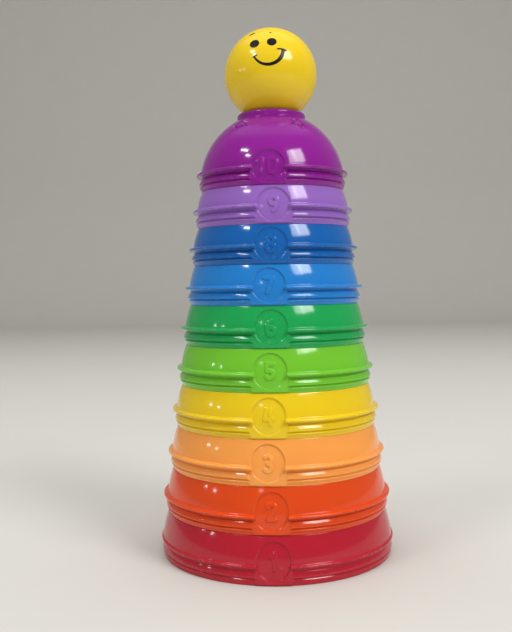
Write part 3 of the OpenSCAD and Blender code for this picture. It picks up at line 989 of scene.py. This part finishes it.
@dataclass
class Ball:
    """The hollow ball on top, with the face printed on it."""

    turn: float = math.radians(-6.9)
    lift: float = math.radians(14.4)
    tip: float = math.radians(6.5)
    weld_w: float = 0.5 * MM
    weld_depth: float = 0.06 * MM
    ink: float = 0.09 * MM
    ink_under: float = 0.03 * MM
    columns: int = 320
    # places on the face, in millimetres across and up it
    EYES = ((-5, 6.3), (3.5, 5.7))
    EYE_R = 2.4
    # each line's centre, radius and width in millimetres, and its two ends in degrees
    BROWS = (((-3.7, 6.6), 8, 0.8, 95, 118), ((3.8, 4.4), 8, 0.8, 90, 98))
    DIMPLES = (((-3.3, -6.4), 6, 0.8, 99, 123), ((6.8, -4.6), 5.9, 0.85, 54, 101))

    def __post_init__(self) -> None:
        """Takes the ball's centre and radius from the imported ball."""
        low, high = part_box("ball_shell")
        self.centre = (low + high) / 2
        self.radius = (high.x - low.x) / 2
        facing = Matrix.Rotation(math.pi / 2 - self.lift, 4, "X") @ Matrix.Rotation(self.tip, 4, "Z")
        self.face = Matrix.Translation(self.centre) @ Matrix.Rotation(self.turn, 4, "Z") @ facing

    def build(self) -> None:
        """Makes, dresses and places the ball and its printed face."""
        shell = self.shell()
        shell.data.materials.append(
            MouldedGloss("moulded_ball_plastic_yellow", Hue.BALL, roughness=0.14, wave=20 * MM).material())
        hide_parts("ball_shell")
        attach(shell, "ball")
        print_ = self.printed_face()
        print_.data.materials.append(PadInk("pad_ink_black", Hue.INK).material())
        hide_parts("face_print")
        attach(print_, "ball")
        LOG.info("%s and %s made", shell.name, print_.name)

    def shell(self) -> bpy.types.Object:
        """Makes the ball's two halves, welded on the circle midway behind the face.

        Returns:
            The closed skin of both.
        """
        columns = self.columns
        near = np.arange(-1.2, 1.21, 0.1) * MM / self.radius
        far = np.radians(np.arange(1.2, 90, 1.2))
        far = far[far > near[-1] + 0.01]
        lats = np.concatenate([-np.append(far, math.pi / 2)[::-1], near, np.append(far, math.pi / 2)])
        # a shallow groove goes round where the halves meet
        weld = np.clip(1 - (lats * self.radius / (self.weld_w / 2)) ** 2, 0, 1)
        radii = self.radius - self.weld_depth * weld
        turns = np.linspace(0, 2 * math.pi, columns, endpoint=False)
        points = np.stack([np.outer(radii * np.cos(lats), np.cos(turns)),
                           np.outer(radii * np.cos(lats), np.sin(turns)),
                           np.repeat((radii * np.sin(lats))[:, None], columns, 1)], axis=2)
        faces = [(r * columns + c, r * columns + (c + 1) % columns,
                  (r + 1) * columns + (c + 1) % columns, (r + 1) * columns + c)
                 for r in range(len(lats) - 1) for c in range(columns)]
        mesh = bpy.data.meshes.new("ball")
        mesh.from_pydata(points.reshape(-1, 3).tolist(), [], faces)
        mesh.transform(self.face)
        close_up(mesh)
        return mesh_object("ball", mesh)

    def printed_face(self) -> bpy.types.Object:
        """Prints the eyes, brows, smile and dimples.

        Returns:
            Closed films of ink on the ball, as one piece.
        """
        patches = [self.disc(eye, self.EYE_R) for eye in self.EYES]
        patches += [self.line(*line) for line in self.BROWS + self.DIMPLES]
        patches.append(self.smile())
        work = bmesh.new()
        for patch in patches:
            self.lay_film(work, patch)
        mesh = bpy.data.meshes.new("printed_face")
        work.to_mesh(mesh)
        work.free()
        mesh.transform(self.face)
        close_up(mesh)
        return mesh_object("printed_face", mesh)

    @staticmethod
    def swept(centre: Point, radii: np.ndarray, turns: np.ndarray) -> np.ndarray:
        """A grid of places on the face, from distances and angles round a centre."""
        return np.stack([centre[0] + radii * np.cos(turns)[:, None],
                         centre[1] + radii * np.sin(turns)[:, None]], axis=2)

    @staticmethod
    def disc(centre: Point, radius: float) -> np.ndarray:
        """A round spot as a grid that closes on itself, in millimetres on the face."""
        return Ball.swept(centre, np.linspace(0, radius, 9), np.linspace(0, 2 * math.pi, 49))

    @staticmethod
    def line(centre: Point, radius: float, width: float, start: float, end: float) -> np.ndarray:
        """Draws a line of even width along an arc, with round ends.

        Args:
            centre: Centre of the arc, in millimetres on the face.
            radius: Radius of the arc in millimetres.
            width: Width of the line in millimetres.
            start: Angle of its first end in degrees.
            end: Angle of its last end in degrees.

        Returns:
            A grid of places on the face.
        """
        ease = (1 - np.cos(np.linspace(0, math.pi, 25))) / 2
        turns = np.radians(start + (end - start) * ease)
        along = np.radians(end - start) * radius
        to_end = np.minimum(ease, 1 - ease) * along
        half = width / 2 * np.sqrt(np.clip(1 - (1 - np.clip(to_end / (width / 2), 0, 1)) ** 2, 0.003, 1))
        radii = radius + half[:, None] * np.linspace(-1, 1, 7)
        return Ball.swept(centre, radii, turns)

    @staticmethod
    def smile() -> np.ndarray:
        """Draws the crescent between two circles, thickest low on one side.

        Returns:
            A grid of places on the face, in millimetres.
        """
        centre, outer, inner, shift = (1.4, 1.0), 7.9, 6.7, (-0.4, 0.3)
        turns = np.radians(np.linspace(194.5, 357.1, 81))
        off = np.cos(turns) * shift[0] + np.sin(turns) * shift[1]
        inside = off + np.sqrt(off ** 2 - shift[0] ** 2 - shift[1] ** 2 + inner ** 2)
        radii = inside[:, None] + (outer - inside)[:, None] * np.linspace(0, 1, 9)
        return Ball.swept(centre, radii, turns)

    def lay_film(self, work: bmesh.types.BMesh, patch: np.ndarray) -> None:
        """Adds a patch to a mesh as a closed film on the ball, thinner at its edges.

        Args:
            work: The mesh being built, in the face's own frame.
            patch: Grid of places across and up the face, in millimetres.
        """
        rows, columns, _ = patch.shape
        flat = patch * MM
        sides = np.linspace(-1, 1, columns)
        levels = (self.ink * (1 - 0.5 * np.abs(sides) ** 6), np.full(columns, -self.ink_under))
        sheets = []
        for level in levels:
            radius = self.radius + level
            z = np.sqrt(radius[None, :] ** 2 - flat[..., 0] ** 2 - flat[..., 1] ** 2)
            sheets.append([[work.verts.new((*flat[i, j], z[i, j])) for j in range(columns)]
                           for i in range(rows)])
        top, bottom = sheets
        for i in range(rows - 1):
            for j in range(columns - 1):
                for sheet in sheets:
                    work.faces.new((sheet[i][j], sheet[i + 1][j], sheet[i + 1][j + 1], sheet[i][j + 1]))
            for j in (0, columns - 1):
                work.faces.new((top[i][j], top[i + 1][j], bottom[i + 1][j], bottom[i][j]))
        for i in (0, rows - 1):
            for j in range(columns - 1):
                work.faces.new((top[i][j], top[i][j + 1], bottom[i][j + 1], bottom[i][j]))


@dataclass
class Studio:
    """The camera, the plain pale floor and the soft light."""

    camera_place: tuple[float, float, float] = (-9.35 * MM, -433.1 * MM, 137.4 * MM)
    camera_pitch: float = math.radians(2.17)
    camera_roll: float = math.radians(0.86)
    lens: float = 47.5
    floor_half: float = 3.0
    sweep: float = 0.6
    middle: Vector = field(default_factory=lambda: Vector((0, 0, 0.13)))
    wall_glow: float = 0.36
    ceiling_glow: float = 0.85
    # each lamp's name, azimuth, height and size in degrees, and its radiance
    LAMPS = (
        ("window_near_pane", 34.5, 38, (9, 19), 9), ("window_far_pane", 47.5, 38, (16, 19), 12),
        ("strip_low", -81, 11, (2.2, 1.5), 40), ("strip_low_near", -69, 11, (2.2, 1.5), 40),
        ("strip_high", -57, 47, (9, 2.5), 45), ("strip_high_near", -46, 40, (7, 2.5), 45),
        ("lamp_front", -18, 20, (1.6, 1.6), 30),
    )

    def build(self) -> None:
        """Sets up everything round the object."""
        self.camera()
        self.floor()
        self.lamps()
        self.room_light()

    def camera(self) -> None:
        """Puts the camera in front of the tower, a little above its middle."""
        data = bpy.data.cameras.new("camera")
        data.lens = self.lens
        data.sensor_width = 36.0
        camera = bpy.data.objects.new("camera", data)
        bpy.context.scene.collection.objects.link(camera)
        looking = Matrix.Rotation(math.pi / 2 - self.camera_pitch, 4, "X")
        rolled = looking @ Matrix.Rotation(-self.camera_roll, 4, "Z")
        camera.matrix_world = Matrix.Translation(self.camera_place) @ rolled
        bpy.context.scene.camera = camera
        bpy.context.scene.view_settings.view_transform = "Standard"

    def floor(self) -> None:
        """A pale floor that curves up into a backdrop far behind the tower."""
        half, bend = self.floor_half, self.sweep
        back = half - bend
        side = [(-half, 0.0)] + [(back + bend * math.sin(a), bend * (1 - math.cos(a)))
                                 for a in np.linspace(0, math.pi / 2, 25)] + [(half, 2 * half)]
        mesh = bpy.data.meshes.new("floor")
        points = [(x, y, z) for y, z in side for x in (-half, half)]
        faces = [(2 * i, 2 * i + 1, 2 * i + 3, 2 * i + 2) for i in range(len(side) - 1)]
        mesh.from_pydata(points, [], faces)
        close_up(mesh)
        floor = mesh_object("floor", mesh)
        made, put, here = blank_material("matt_paper_pale")
        fibre = put("ShaderNodeTexNoise", {"Vector": here, "Scale": 1 / (60 * MM), "Detail": 3.0})
        tone = linear(Hue.FLOOR.value)
        paint = put("ShaderNodeMix", {0: fibre, 6: tone, 7: tuple(c * 0.96 for c in tone)},
                    data_type="RGBA")
        shader = put("ShaderNodeBsdfPrincipled", {"Base Color": paint.outputs[2], "Roughness": 0.7})
        put("ShaderNodeOutputMaterial", {"Surface": shader})
        mesh.materials.append(made)

    def lamp(self, name: str, place: tuple[float, float, float], size: tuple[float, float],
             watts: float) -> bpy.types.Object:
        """Adds a flat rectangular lamp that faces the middle of the tower.

        Args:
            name: Name of the lamp.
            place: Its middle.
            size: Its width and height.
            watts: Its power.

        Returns:
            The lamp.
        """
        data = bpy.data.lights.new(name, "AREA")
        data.shape = "RECTANGLE"
        data.size, data.size_y = size
        data.energy = watts
        lamp = bpy.data.objects.new(name, data)
        bpy.context.scene.collection.objects.link(lamp)
        lamp.location = place
        lamp.rotation_euler = (Vector(place) - self.middle).to_track_quat("Z", "Y").to_euler()
        return lamp

    def aim(self, name: str, azimuth: float, height: float, size: tuple[float, float],
            glow: float, reach: float = 3.0) -> None:
        """Adds a lamp in a direction from the tower, with a given brightness to the eye.

        Args:
            name: Name of the lamp.
            azimuth: Degrees to the right of the camera's side.
            height: Degrees above the tower's middle.
            size: Degrees that it spans across and up.
            glow: Its radiance.
            reach: Distance from the tower.
        """
        a, e = math.radians(azimuth), math.radians(height)
        place = Vector((math.sin(a) * math.cos(e), -math.cos(a) * math.cos(e), math.sin(e))) * reach
        spans = tuple(2 * reach * math.tan(math.radians(span) / 2) for span in size)
        self.lamp(name, tuple(place + self.middle), spans, glow * math.pi * spans[0] * spans[1])

    def lamps(self) -> None:
        """A window in two panes on the right and a few small lamps on the left."""
        for lamp in self.LAMPS:
            self.aim(*lamp)
        overhead = self.lamp("overhead", (0.0, 0.0, 1.9), (1.8, 1.8), 24)
        overhead.visible_glossy = False

    def room_light(self) -> None:
        """Even room light: a bright ceiling and back wall, and dimmer walls in front."""
        world = bpy.data.worlds.new("room")
        bpy.context.scene.world = world
        world.use_nodes = True
        world.node_tree.nodes.clear()
        put = partial(add, world.node_tree)
        towards = put("ShaderNodeTexCoord").outputs["Generated"]
        slope = put("ShaderNodeVectorMath", {0: towards, 1: (0.0, 0.35, 1.0)}, operation="DOT_PRODUCT")
        bright = put("ShaderNodeMapRange", {"Value": slope.outputs["Value"], "From Min": 0.86,
                                            "From Max": 0.94, "To Min": self.wall_glow,
                                            "To Max": self.ceiling_glow})
        sky = put("ShaderNodeBackground", {"Color": linear("#EEEDEA"), "Strength": bright})
        put("ShaderNodeOutputWorld", {"Surface": sky})


def main() -> None:
    """Builds the studio, the cups and the ball, and logs each cup's face count."""
    logging.basicConfig(level=logging.INFO, format="%(name)s: %(message)s")
    Studio().build()
    CupFamily(Moulding()).build()
    Ball().build()
    LOG.info("size written")


if __name__ == "__main__":
    main()
